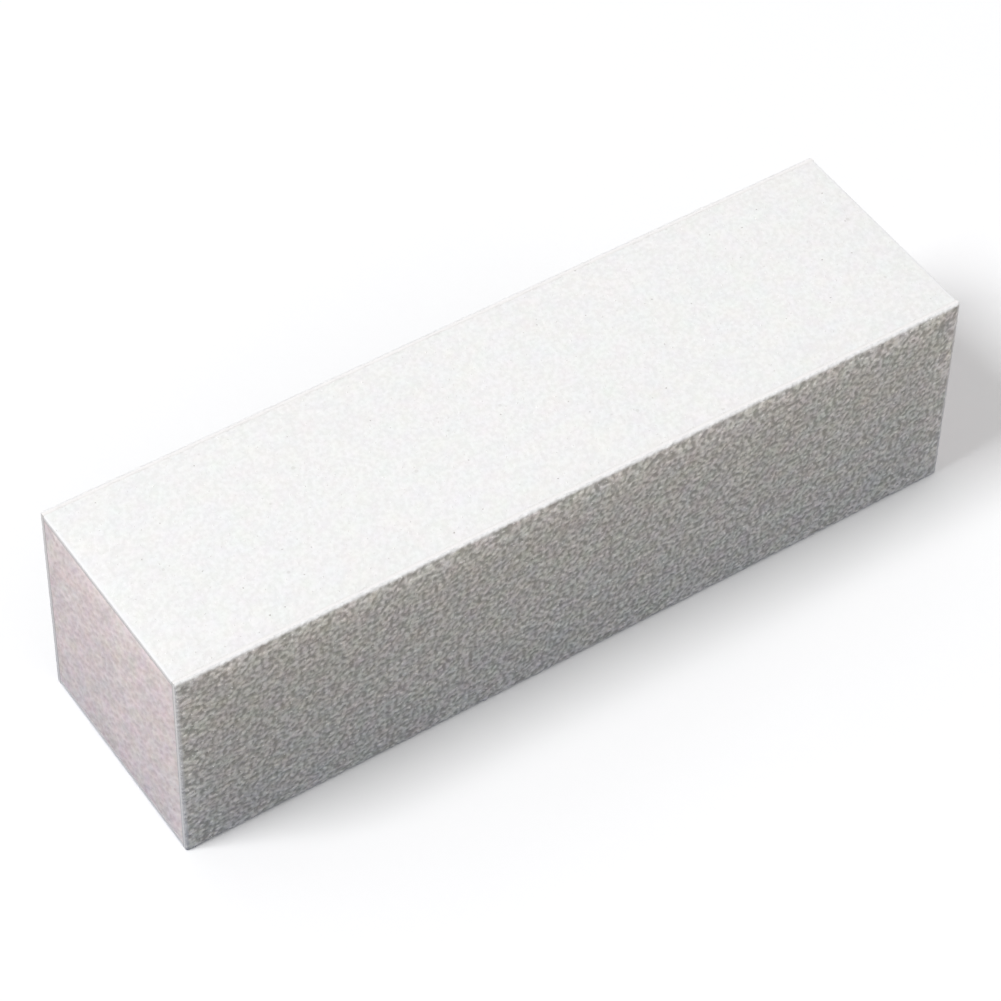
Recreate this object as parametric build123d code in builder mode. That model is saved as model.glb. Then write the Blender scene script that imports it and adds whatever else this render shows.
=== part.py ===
from build123d import *
import os

# Nail buffer block: a square bar of soft closed-cell foam with an abrasive strip glued along
# each of its four long faces.  Its two ends are cut across and left bare, so the foam and the
# edges of the strips show there.
#
# Millimetres.  +X runs along the block, +Z is up, and the origin is the centre of the bottom.

# Overall size
block_length = 90.0
block_width = 25.0
block_height = 25.0

# Layers of an abrasive strip, from the foam outwards: glue, paper, and grit set in resin
adhesive_thickness = 0.15
backing_thickness = 0.25
coat_thickness = 0.25

# How much of the grit's thickness wears round along the block's four long corners
corner_easing = 0.8

# What follows from those sizes
strip_thickness = adhesive_thickness + backing_thickness + coat_thickness
core_width = block_width - 2 * strip_thickness
core_height = block_height - 2 * strip_thickness
corner_radius = corner_easing * coat_thickness
core_bottom = strip_thickness
core_top = core_bottom + core_height
middle_height = block_height / 2

os.makedirs("parts", exist_ok=True)


# Foam core: cut square, the full length of the block, with nothing over its ends
with BuildPart() as foam_core:
    with BuildSketch(Plane.XY.offset(core_bottom)):
        Rectangle(block_length, core_width)
    extrude(amount=core_height)
foam_core.part.label = "foam_core"
export_step(foam_core.part, "parts/foam_core.step")


# The strips.  Top and bottom are as wide as the foam.  Front and rear are as wide as the block
# is high, so they also cover the long edges of the other two, and they form the corners.
# Each row: the strip's name, the foam face it is glued to with its normal outwards, its width,
# and whether it forms the block's long corners.
top_seat = Plane(origin=(0, 0, core_top), x_dir=(1, 0, 0), z_dir=(0, 0, 1))
bottom_seat = Plane(origin=(0, 0, core_bottom), x_dir=(1, 0, 0), z_dir=(0, 0, -1))
front_seat = Plane(origin=(0, -core_width / 2, middle_height), x_dir=(1, 0, 0), z_dir=(0, -1, 0))
rear_seat = Plane(origin=(0, core_width / 2, middle_height), x_dir=(1, 0, 0), z_dir=(0, 1, 0))

strips = (
    ("top", top_seat, core_width, False),
    ("bottom", bottom_seat, core_width, False),
    ("front", front_seat, block_height, True),
    ("rear", rear_seat, block_height, True),
)

for side, seat, strip_width, forms_corners in strips:

    # Adhesive film, laid straight on the foam
    with BuildPart() as adhesive_film:
        with BuildSketch(seat):
            Rectangle(block_length, strip_width)
        extrude(amount=adhesive_thickness)
    adhesive_film.part.label = f"{side}_adhesive_film"
    export_step(adhesive_film.part, f"parts/{side}_adhesive_film.step")

    # Paper backing sheet, held by the film and carrying the grit
    backing_seat = seat.offset(adhesive_thickness)
    with BuildPart() as backing_sheet:
        with BuildSketch(backing_seat):
            Rectangle(block_length, strip_width)
        extrude(amount=backing_thickness)
    backing_sheet.part.label = f"{side}_backing_sheet"
    export_step(backing_sheet.part, f"parts/{side}_backing_sheet.step")

    # Abrasive coat, the working face
    coat_seat = backing_seat.offset(backing_thickness)
    with BuildPart() as abrasive_coat:
        with BuildSketch(coat_seat):
            Rectangle(block_length, strip_width)
        extrude(amount=coat_thickness)
        if forms_corners:
            working_face = abrasive_coat.faces().sort_by(Axis(seat.origin, seat.z_dir))[-1]
            fillet(working_face.edges().filter_by(Axis.X), radius=corner_radius)
    abrasive_coat.part.label = f"{side}_abrasive_coat"
    export_step(abrasive_coat.part, f"parts/{side}_abrasive_coat.step")
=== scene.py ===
"""Looks of a nail buffer block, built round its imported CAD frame.

The block is a bar of soft foam with an abrasive strip glued along each long face.  Every strip is
a glue film, a paper sheet and a coat of resin set with grit, and the foam shows bare at both ends.

Lengths are in metres.  The block runs along X, stands on Z = 0, and its front faces -Y.
"""

import logging
import math
from dataclasses import dataclass, field
from enum import Enum
from typing import Any

import bpy
import numpy as np
from mathutils import Matrix, Vector

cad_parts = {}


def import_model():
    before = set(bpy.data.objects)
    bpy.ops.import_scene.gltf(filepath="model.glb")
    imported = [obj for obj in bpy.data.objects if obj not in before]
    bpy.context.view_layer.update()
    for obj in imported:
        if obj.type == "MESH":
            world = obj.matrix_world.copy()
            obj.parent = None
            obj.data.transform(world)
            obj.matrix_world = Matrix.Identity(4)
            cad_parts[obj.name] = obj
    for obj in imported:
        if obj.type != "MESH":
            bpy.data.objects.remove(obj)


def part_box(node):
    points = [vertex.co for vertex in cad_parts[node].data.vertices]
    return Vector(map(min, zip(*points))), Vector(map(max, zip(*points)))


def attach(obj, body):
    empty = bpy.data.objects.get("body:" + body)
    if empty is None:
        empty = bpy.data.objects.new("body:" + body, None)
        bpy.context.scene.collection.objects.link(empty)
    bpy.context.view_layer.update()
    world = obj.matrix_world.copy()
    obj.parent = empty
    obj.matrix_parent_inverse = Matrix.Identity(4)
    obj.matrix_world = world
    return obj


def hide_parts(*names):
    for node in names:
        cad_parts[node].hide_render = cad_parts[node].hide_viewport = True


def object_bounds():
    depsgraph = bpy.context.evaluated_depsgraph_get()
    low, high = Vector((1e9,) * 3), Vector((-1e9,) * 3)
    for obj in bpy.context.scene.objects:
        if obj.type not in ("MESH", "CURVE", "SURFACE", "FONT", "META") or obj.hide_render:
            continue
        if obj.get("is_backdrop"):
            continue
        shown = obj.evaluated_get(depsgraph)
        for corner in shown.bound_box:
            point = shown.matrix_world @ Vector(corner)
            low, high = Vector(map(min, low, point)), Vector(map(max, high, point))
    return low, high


MM = 0.001
BODY = "root"
RELIEF = "relief"
HEIGHT = "relief_height"
TONE = "grain_tone"
BAKE_MAP = "OFBake"
# The knife crosses the foam's ends at this slant, and draws its cells out by this factor
KNIFE_TURN = math.radians(54.0)
KNIFE_DRAG = 1.8

Colour = tuple[float, float, float]
Socket = bpy.types.NodeSocket
SocketPlan = tuple[str, str, Any]

# The socket types that the groups declare
FLOAT, VECTOR, GEOMETRY = "NodeSocketFloat", "NodeSocketVector", "NodeSocketGeometry"
INTEGER, MATERIAL = "NodeSocketInt", "NodeSocketMaterial"

log = logging.getLogger("buffer_block")


class Grade(Enum):
    """How coarse a strip is."""

    FINE = "fine"
    MEDIUM = "medium"


class Layer(Enum):
    """A strip's layers from the foam outwards, each with the last part of its CAD node's name."""

    GLUE = "adhesive_film"
    PAPER = "backing_sheet"
    COAT = "abrasive_coat"


class Side(Enum):
    """The four long faces that carry a strip."""

    TOP = "top"
    BOTTOM = "bottom"
    FRONT = "front"
    REAR = "rear"

    @property
    def outward(self) -> Vector:
        """The direction that this face looks in."""
        return {
            Side.TOP: Vector((0, 0, 1)),
            Side.BOTTOM: Vector((0, 0, -1)),
            Side.FRONT: Vector((0, -1, 0)),
            Side.REAR: Vector((0, 1, 0)),
        }[self]

    @property
    def across(self) -> Vector:
        """The direction across the strip, so that X, across and outward are right-handed."""
        return self.outward.cross(Vector((1, 0, 0)))

    @property
    def forms_corners(self) -> bool:
        """Whether this strip covers its neighbours' edges and so forms the long corners."""
        return self in (Side.FRONT, Side.REAR)

    @property
    def grade(self) -> Grade:
        """The grade of its grit."""
        return Grade.MEDIUM if self.forms_corners else Grade.FINE


# ----------------------------------------------------------------------------------------------
# Node trees
# ----------------------------------------------------------------------------------------------


class Wiring:
    """Adds nodes to one tree and joins them up."""

    def __init__(self, tree: bpy.types.NodeTree) -> None:
        """Starts on a tree.

        Args:
            tree: the shader or geometry tree that gets the nodes.
        """
        self.tree = tree

    def node(self, kind: str, inputs: dict[Any, Any] | None = None, **settings: Any) -> bpy.types.Node:
        """Adds a node.

        Args:
            kind: the node's type name.
            inputs: values or sockets for its inputs, by name or number.
            settings: the node's own properties.

        Returns:
            The new node.
        """
        made = self.tree.nodes.new(kind)
        for key, value in settings.items():
            setattr(made, key, value)
        for key, value in (inputs or {}).items():
            self.feed(made.inputs[key], value)
        return made

    def step(
        self, kind: str, geometry: Socket, inputs: dict[str, Any] | None = None, **settings: Any
    ) -> Socket:
        """Adds a Geometry Nodes step.

        Args:
            kind: the rest of the node's type name, after GeometryNode.
            geometry: the geometry that it works on.
            inputs: its other inputs, by name.
            settings: the node's own properties.

        Returns:
            The geometry that it gives.
        """
        given = {"Geometry": geometry, **(inputs or {})}
        return self.node("GeometryNode" + kind, given, **settings).outputs[0]

    def feed(self, target: Socket, value: Any) -> None:
        """Joins a socket to an input, or sets the input's own value."""
        if isinstance(value, bpy.types.NodeSocket):
            self.tree.links.new(value, target)
        else:
            target.default_value = value

    def maths(self, operation: str, first: Any, second: Any = 0.0, clamp: bool = False) -> Socket:
        """Adds a Math node.

        Args:
            operation: its operation's name.
            first: the first value or socket.
            second: the second value or socket.
            clamp: whether the result is held from 0 to 1.

        Returns:
            The node's result.
        """
        inputs = {0: first, 1: second}
        return self.node("ShaderNodeMath", inputs, operation=operation, use_clamp=clamp).outputs[0]

    def vector(self, operation: str, first: Any, second: Any = (0.0, 0.0, 0.0)) -> Socket:
        """Adds a Vector Math node, with a plain number as the scale where it is SCALE.

        Args:
            operation: its operation's name.
            first: the first vector or socket.
            second: the second vector, or the scale.

        Returns:
            The node's result, which is a number for LENGTH.
        """
        inputs = {0: first, ("Scale" if operation == "SCALE" else 1): second}
        made = self.node("ShaderNodeVectorMath", inputs, operation=operation)
        return made.outputs["Value" if operation == "LENGTH" else "Vector"]

    def ramp(
        self, value: Any, low: float, high: Any, to_low: Any = 0.0, to_high: Any = 1.0
    ) -> Socket:
        """Maps a value smoothly from one range to another, held at both ends.

        Args:
            value: the socket to map.
            low: where the change begins.
            high: where it ends.
            to_low: the result at low and beyond.
            to_high: the result at high and beyond.

        Returns:
            The mapped value.
        """
        inputs = {"Value": value, "From Min": low, "From Max": high, "To Min": to_low}
        inputs["To Max"] = to_high
        made = self.node("ShaderNodeMapRange", inputs, interpolation_type="SMOOTHSTEP")
        return made.outputs["Result"]

    def line(self, value: Any, start: float, slope: float) -> Socket:
        """Gives start, plus slope for each unit of the value."""
        inputs = {0: value, 1: slope, 2: start}
        return self.node("ShaderNodeMath", inputs, operation="MULTIPLY_ADD").outputs[0]

    def centred(self, value: Any, width: Any) -> Socket:
        """Makes a value from 0 to 1 one that lies about 0, this wide in all."""
        return self.maths("MULTIPLY", self.maths("SUBTRACT", value, 0.5), width)

    def noise(
        self, place: Any, detail: float, roughness: float = 0.6, scale: float = 1.0
    ) -> bpy.types.NodeOutputs:
        """Adds a noise texture.

        Args:
            place: its coordinates.
            detail: how many finer layers it has.
            roughness: how strong the finer layers are.
            scale: how many features fit in a unit.

        Returns:
            Its outputs, a value first and then a colour.
        """
        inputs = {"Vector": place, "Scale": scale, "Detail": detail, "Roughness": roughness}
        return self.node("ShaderNodeTexNoise", inputs, noise_dimensions="3D").outputs

    def in_units(self, place: Any, size: Any, seed: Any) -> Socket:
        """Turns metres into units of a size in millimetres, shifted by a seed."""
        shifted = self.vector("ADD", self.vector("SCALE", place, 1 / MM), seed)
        return self.vector("SCALE", shifted, self.maths("DIVIDE", 1.0, size))

    def blend(self, share: Any, first: Any, second: Any) -> Socket:
        """Mixes two colours.

        Args:
            share: how much of the second colour, from 0 to 1.
            first: the first colour or socket.
            second: the second colour or socket.

        Returns:
            The mixed colour.
        """
        made = self.node("ShaderNodeMix", data_type="RGBA")
        self.feed(made.inputs[0], share)
        self.feed(made.inputs[6], opaque(first))
        self.feed(made.inputs[7], opaque(second))
        return made.outputs[2]


def opaque(colour: Any) -> Any:
    """Gives a plain colour its fourth number, and leaves a socket as it is."""
    return (*colour, 1.0) if isinstance(colour, tuple) and len(colour) == 3 else colour


def open_group(
    name: str, kind: str, sockets: list[SocketPlan], outputs: list[tuple[str, str]]
) -> tuple[Wiring, bpy.types.Node, bpy.types.Node]:
    """Makes a node group with its sockets.

    Args:
        name: the group's name.
        kind: the tree's type name.
        sockets: each input's name, socket type and value.
        outputs: each output's name and socket type.

    Returns:
        The wiring of the new tree, its input node and its output node.
    """
    tree = bpy.data.node_groups.new(name, kind)
    for label, socket_type, value in sockets:
        made = tree.interface.new_socket(name=label, in_out="INPUT", socket_type=socket_type)
        if value is not None:
            made.default_value = value
    for label, socket_type in outputs:
        tree.interface.new_socket(name=label, in_out="OUTPUT", socket_type=socket_type)
    wiring = Wiring(tree)
    return wiring, wiring.node("NodeGroupInput"), wiring.node("NodeGroupOutput")


# ----------------------------------------------------------------------------------------------
# Geometry Nodes
# ----------------------------------------------------------------------------------------------


# How far one seed shifts a relief, how far its cells are bent, and how nearly they meet
SEED_STEP = (0.371, 0.173, 0.259)
CELL_BEND = 0.35
CELL_FULLNESS = 1.45
# Grit lies where the relief has more than this share of its strength
OPEN_FACE = 0.97
# How coarse and how deep a grain's facets are, in grain radii
CHIP_SCALE = 1.7
CHIP_DEPTH = 1.1


def relief_way(wiring: Wiring) -> Socket:
    """Reads the way that relief raises each point."""
    inputs = {"Name": RELIEF}
    kind = "GeometryNodeInputNamedAttribute"
    return wiring.node(kind, inputs, data_type="FLOAT_VECTOR").outputs[0]


def finish_tree(wiring: Wiring, geometry: Socket, material: Socket, result: bpy.types.Node) -> None:
    """Ends a geometry tree: makes its instances real, and sets its material.

    Args:
        wiring: the tree's wiring.
        geometry: what the tree has made.
        material: the material's socket.
        result: the tree's output node.
    """
    real = wiring.step("RealizeInstances", geometry)
    wiring.feed(result.inputs[0], wiring.step("SetMaterial", real, {"Material": material}))


def relief_tree() -> bpy.types.NodeTree:
    """Builds the tree that raises a skin along its relief vectors.

    Rounded cells of one size, squeezed where they meet, carry a finer roughness.  A negative
    cell height makes pits in place of pebbles.

    Returns:
        The geometry tree.
    """
    sockets = [
        ("Geometry", GEOMETRY, None),
        ("Cell Size", FLOAT, 0.55 * MM),
        ("Cell Height", FLOAT, 0.04 * MM),
        ("Softness", FLOAT, 0.2),
        ("Fine Size", FLOAT, 0.2 * MM),
        ("Fine Height", FLOAT, 0.01 * MM),
        ("Swell Size", FLOAT, 6.0 * MM),
        ("Swell Height", FLOAT, 0.01 * MM),
        ("Turn", FLOAT, 0.0),
        ("Stretch", VECTOR, (1.0, 1.0, 1.0)),
        ("Seed", INTEGER, 1),
        ("Material", MATERIAL, None),
    ]
    outputs = [("Geometry", GEOMETRY)]
    wiring, given, result = open_group("raised_skin", "GeometryNodeTree", sockets, outputs)
    value = given.outputs
    place = wiring.node("GeometryNodeInputPosition").outputs[0]
    turn = {"Vector": place, "Angle": value["Turn"]}
    turned = wiring.node("ShaderNodeVectorRotate", turn, rotation_type="X_AXIS").outputs[0]
    stretched = wiring.vector("MULTIPLY", turned, value["Stretch"])
    shift = wiring.vector("SCALE", SEED_STEP, value["Seed"])
    seeded = wiring.vector("ADD", stretched, shift)

    def scaled(size: Socket) -> Socket:
        """Coordinates in which one unit is this size."""
        return wiring.vector("SCALE", seeded, wiring.maths("DIVIDE", 1.0, size))

    def noise(size: Socket) -> bpy.types.NodeOutputs:
        """Noise with features of this size."""
        return wiring.noise(scaled(size), detail=1.0, roughness=0.55)

    wander = wiring.vector("SUBTRACT", noise(value["Cell Size"])["Color"], (0.5, 0.5, 0.5))
    bent = wiring.vector("ADD", scaled(value["Cell Size"]), wiring.vector("SCALE", wander, CELL_BEND))
    inputs = {"Vector": bent, "Scale": 1.0, "Smoothness": value["Softness"], "Randomness": 0.9}
    cell = wiring.node("ShaderNodeTexVoronoi", inputs, feature="SMOOTH_F1")
    # A round top and a sharp valley where one cell meets the next
    reach = wiring.maths("MULTIPLY", cell.outputs["Distance"], CELL_FULLNESS, clamp=True)
    dome = wiring.maths("SUBTRACT", 1.0, wiring.maths("MULTIPLY", reach, reach))
    raised = wiring.centred(dome, value["Cell Height"])
    rough = wiring.centred(noise(value["Fine Size"])[0], value["Fine Height"])
    wave = wiring.centred(noise(value["Swell Size"])[0], value["Swell Height"])
    relief = wiring.maths("ADD", raised, rough)
    height = wiring.maths("ADD", relief, wave)
    # How high each point lies within the relief, about 0 in the hollows and 1 on the crests
    whole = wiring.maths("ADD", wiring.maths("ABSOLUTE", value["Cell Height"]), value["Fine Height"])
    level = wiring.maths("ADD", wiring.maths("DIVIDE", relief, whole), 0.5)
    offset = wiring.vector("SCALE", relief_way(wiring), height)
    raised_skin = wiring.step("SetPosition", value["Geometry"], {"Offset": offset})
    kept = wiring.step(
        "StoreNamedAttribute", raised_skin, {"Name": HEIGHT, "Value": level}, data_type="FLOAT"
    )
    finish_tree(wiring, kept, value["Material"], result)
    return wiring.tree


def grit_tree() -> bpy.types.NodeTree:
    """Builds the tree that beds angular grains in a coat's working face.

    Returns:
        The geometry tree, whose result is the grains alone.
    """
    sockets = [
        ("Geometry", GEOMETRY, None),
        ("Spacing", FLOAT, 0.32 * MM),
        ("Density", FLOAT, 4.0e6),
        ("Grain Radius", FLOAT, 0.1 * MM),
        ("Size Spread", FLOAT, 0.45),
        ("Bedding", FLOAT, 0.5),
        ("Seed", INTEGER, 1),
        ("Material", MATERIAL, None),
    ]
    outputs = [("Geometry", GEOMETRY)]
    wiring, given, result = open_group("bedded_grit", "GeometryNodeTree", sockets, outputs)
    value = given.outputs
    face = relief_way(wiring)
    open_face = wiring.maths("GREATER_THAN", wiring.vector("LENGTH", face), OPEN_FACE)
    spread = wiring.node(
        "GeometryNodeDistributePointsOnFaces",
        {
            "Mesh": value["Geometry"],
            "Selection": open_face,
            "Distance Min": value["Spacing"],
            "Density Max": value["Density"],
            "Seed": value["Seed"],
        },
        distribute_method="POISSON",
    )
    ball = wiring.node("GeometryNodeMeshIcoSphere", {"Radius": 1.0, "Subdivisions": 1})
    inputs = {"Scale": CHIP_SCALE, "Detail": 0.0}
    chips = wiring.node("ShaderNodeTexNoise", inputs, noise_dimensions="3D").outputs["Color"]
    chip = wiring.vector("SCALE", wiring.vector("SUBTRACT", chips, (0.5, 0.5, 0.5)), CHIP_DEPTH)
    crystal = wiring.step("SetPosition", ball.outputs["Mesh"], {"Offset": chip})

    def chance(low: Any, high: Any, offset: float) -> Socket:
        """A random vector for each grain."""
        seed = wiring.maths("ADD", value["Seed"], offset)
        inputs = {0: low, 1: high, "Seed": seed}
        return wiring.node("FunctionNodeRandomValue", inputs, data_type="FLOAT_VECTOR").outputs[0]

    low = wiring.maths("SUBTRACT", 1.0, value["Size Spread"])
    high = wiring.maths("ADD", 1.0, value["Size Spread"])
    least = wiring.node("ShaderNodeCombineXYZ", {0: low, 1: low, 2: low}).outputs[0]
    most = wiring.node("ShaderNodeCombineXYZ", {0: high, 1: high, 2: high}).outputs[0]
    size = wiring.vector("SCALE", chance(least, most, 11.0), value["Grain Radius"])
    turn = chance((0.0, 0.0, 0.0), (math.tau, math.tau, math.tau), 23.0)
    inputs = {"Points": spread.outputs["Points"], "Instance": crystal, "Rotation": turn, "Scale": size}
    grains = wiring.node("GeometryNodeInstanceOnPoints", inputs).outputs[0]
    tone = {"Name": TONE, "Value": chance((0.0, 0.0, 0.0), (1.0, 1.0, 1.0), 37.0)}
    settings = {"data_type": "FLOAT_VECTOR", "domain": "INSTANCE"}
    toned = wiring.step("StoreNamedAttribute", grains, tone, **settings)
    # A grain's middle sits this share of its radius below the face
    depth = wiring.maths("MULTIPLY", value["Bedding"], value["Grain Radius"])
    sink = wiring.maths("MULTIPLY", depth, -1.0)
    down = wiring.vector("SCALE", wiring.vector("NORMALIZE", face), sink)
    sunk = wiring.step("SetPosition", toned, {"Offset": down})
    real = wiring.step("RealizeInstances", sunk)
    faceted = wiring.step("SetShadeSmooth", real, {"Shade Smooth": False})
    finish_tree(wiring, faceted, value["Material"], result)
    return wiring.tree


def grown(
    name: str, base: bpy.types.Mesh, tree: bpy.types.NodeTree, values: dict[str, Any]
) -> bpy.types.Object:
    """Runs a tree on a mesh and keeps the result as a plain mesh.

    Args:
        name: the new piece's name.
        base: the mesh that the tree starts from.
        tree: the geometry tree.
        values: the tree's inputs, by name.

    Returns:
        The new object, with no modifier left on it.
    """
    scratch = bpy.data.objects.new(name + "_scratch", base)
    bpy.context.scene.collection.objects.link(scratch)
    modifier = scratch.modifiers.new("shape", "NODES")
    modifier.node_group = tree
    for item in tree.interface.items_tree:
        if item.in_out == "INPUT" and item.name in values:
            modifier[item.identifier] = values[item.name]
    evaluated = scratch.evaluated_get(bpy.context.evaluated_depsgraph_get())
    mesh = bpy.data.meshes.new_from_object(evaluated)
    scratch.modifiers.remove(modifier)
    bpy.data.objects.remove(scratch)
    mesh.name = name
    piece = bpy.data.objects.new(name, mesh)
    bpy.context.scene.collection.objects.link(piece)
    return piece


# ----------------------------------------------------------------------------------------------
# Shader groups
# ----------------------------------------------------------------------------------------------


@dataclass
class Effects:
    """The shader groups that the finishes share, each built once for a block that fills a box."""

    low: Vector
    high: Vector
    specks: bpy.types.NodeTree = field(init=False)
    mottle: bpy.types.NodeTree = field(init=False)
    rim: bpy.types.NodeTree = field(init=False)
    grain: bpy.types.NodeTree = field(init=False)
    stain: bpy.types.NodeTree = field(init=False)

    def __post_init__(self) -> None:
        """Builds every group."""
        self.specks = self._specks()
        self.mottle = self._mottle()
        self.rim = self._rim()
        self.grain = self._grain()
        self.stain = self._stain()

    @staticmethod
    def _scattered(size: float, strength: SocketPlan) -> list[SocketPlan]:
        """The sockets of a scattered effect: its place, size in mm, strength and seed."""
        return [("Vector", VECTOR, None), ("Size", FLOAT, size), strength, ("Seed", FLOAT, 0.0)]

    @staticmethod
    def _specks() -> bpy.types.NodeTree:
        """Scattered dots: a mask that is 1 in a few cells and 0 elsewhere."""
        sockets = Effects._scattered(0.3, ("Share", FLOAT, 0.05))
        wiring, given, result = open_group("specks", "ShaderNodeTree", sockets, [("Mask", FLOAT)])
        value = given.outputs
        scaled = wiring.in_units(value["Vector"], value["Size"], value["Seed"])
        cell = wiring.node("ShaderNodeTexVoronoi", {"Vector": scaled, "Scale": 1.0}, feature="F1")
        luck = wiring.node("ShaderNodeSeparateColor", {"Color": cell.outputs["Color"]})
        chosen = wiring.maths("LESS_THAN", luck.outputs[0], value["Share"])
        # Each dot has a radius of its own, and a soft edge
        radius = wiring.line(luck.outputs[1], 0.18, 0.25)
        dot = wiring.maths("SUBTRACT", radius, cell.outputs["Distance"])
        mask = wiring.maths("MULTIPLY", chosen, wiring.ramp(dot, 0.0, 0.12))
        wiring.feed(result.inputs[0], mask)
        return wiring.tree

    @staticmethod
    def _mottle() -> bpy.types.NodeTree:
        """Soft unevenness about a middle of 0."""
        sockets = Effects._scattered(4.0, ("Amount", FLOAT, 1.0))
        wiring, given, result = open_group("mottle", "ShaderNodeTree", sockets, [("Value", FLOAT)])
        value = given.outputs
        scaled = wiring.in_units(value["Vector"], value["Size"], value["Seed"])
        middle = wiring.centred(wiring.noise(scaled, detail=3.0)[0], 2.0)
        wiring.feed(result.inputs[0], wiring.maths("MULTIPLY", middle, value["Amount"]))
        return wiring.tree

    @staticmethod
    def _stain() -> bpy.types.NodeTree:
        """Faint drifts of hue: a colour about white, to multiply by."""
        sockets = Effects._scattered(3.0, ("Amount", FLOAT, 0.03))
        wiring, given, result = open_group("stain", "ShaderNodeTree", sockets, [("Colour", VECTOR)])
        value = given.outputs
        scaled = wiring.in_units(value["Vector"], value["Size"], value["Seed"])
        noise = wiring.noise(scaled, detail=4.0)["Color"]
        drift = wiring.vector("SUBTRACT", noise, (0.5, 0.5, 0.5))
        wide = wiring.vector("SCALE", wiring.vector("SCALE", drift, value["Amount"]), 4.0)
        wiring.feed(result.inputs[0], wiring.vector("ADD", wide, (1.0, 1.0, 1.0)))
        return wiring.tree

    def _rim(self) -> bpy.types.NodeTree:
        """Edge bands: a mask that rises within a ragged width of the block's own edges."""
        sockets = [
            ("Vector", VECTOR, None),
            ("Middle", VECTOR, (self.low + self.high) / 2),
            ("Half Size", VECTOR, (self.high - self.low) / 2),
            ("Width", FLOAT, 0.6),
            ("Raggedness", FLOAT, 0.5),
        ]
        wiring, given, result = open_group("edge_bands", "ShaderNodeTree", sockets, [("Mask", FLOAT)])
        value = given.outputs
        offset = wiring.vector("SUBTRACT", value["Vector"], value["Middle"])
        short_of = wiring.vector("SUBTRACT", value["Half Size"], wiring.vector("ABSOLUTE", offset))
        inset = wiring.vector("SCALE", short_of, 1 / MM)
        part = wiring.node("ShaderNodeSeparateXYZ", {0: inset}).outputs
        # Two of the three distances are small at an edge, so the middle one measures it
        smaller = wiring.maths("MINIMUM", part[0], part[1])
        larger = wiring.maths("MAXIMUM", part[0], part[1])
        second = wiring.maths("MAXIMUM", smaller, wiring.maths("MINIMUM", larger, part[2]))
        scaled = wiring.vector("SCALE", value["Vector"], 1 / MM)
        noise = wiring.noise(scaled, detail=3.0, roughness=0.5, scale=1.3)[0]
        reach = wiring.maths("ADD", second, wiring.centred(noise, value["Raggedness"]))
        wiring.feed(result.inputs[0], wiring.ramp(reach, 0.0, value["Width"], 1.0, 0.0))
        return wiring.tree

    @staticmethod
    def _grain() -> bpy.types.NodeTree:
        """Packed grains: their height, and a tone for each from 0 to 1."""
        stretch = ("Stretch", VECTOR, (1.0, 1.0, 1.0))
        sockets = [("Vector", VECTOR, None), ("Size", FLOAT, 0.12), stretch]
        outputs = [("Height", FLOAT), ("Tone", FLOAT)]
        wiring, given, result = open_group("packed_grain", "ShaderNodeTree", sockets, outputs)
        value = given.outputs
        in_mm = wiring.vector("SCALE", value["Vector"], 1 / MM)
        stretched = wiring.vector("MULTIPLY", in_mm, value["Stretch"])
        scaled = wiring.vector("SCALE", stretched, wiring.maths("DIVIDE", 1.0, value["Size"]))
        cell = wiring.node("ShaderNodeTexVoronoi", {"Vector": scaled, "Scale": 1.0}, feature="F1")
        wiring.feed(result.inputs[0], wiring.ramp(cell.outputs["Distance"], 0.0, 0.68, 1.0, 0.0))
        tone = wiring.node("ShaderNodeSeparateColor", {"Color": cell.outputs["Color"]}).outputs[2]
        wiring.feed(result.inputs[1], tone)
        return wiring.tree


# ----------------------------------------------------------------------------------------------
# Finishes
# ----------------------------------------------------------------------------------------------


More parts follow.
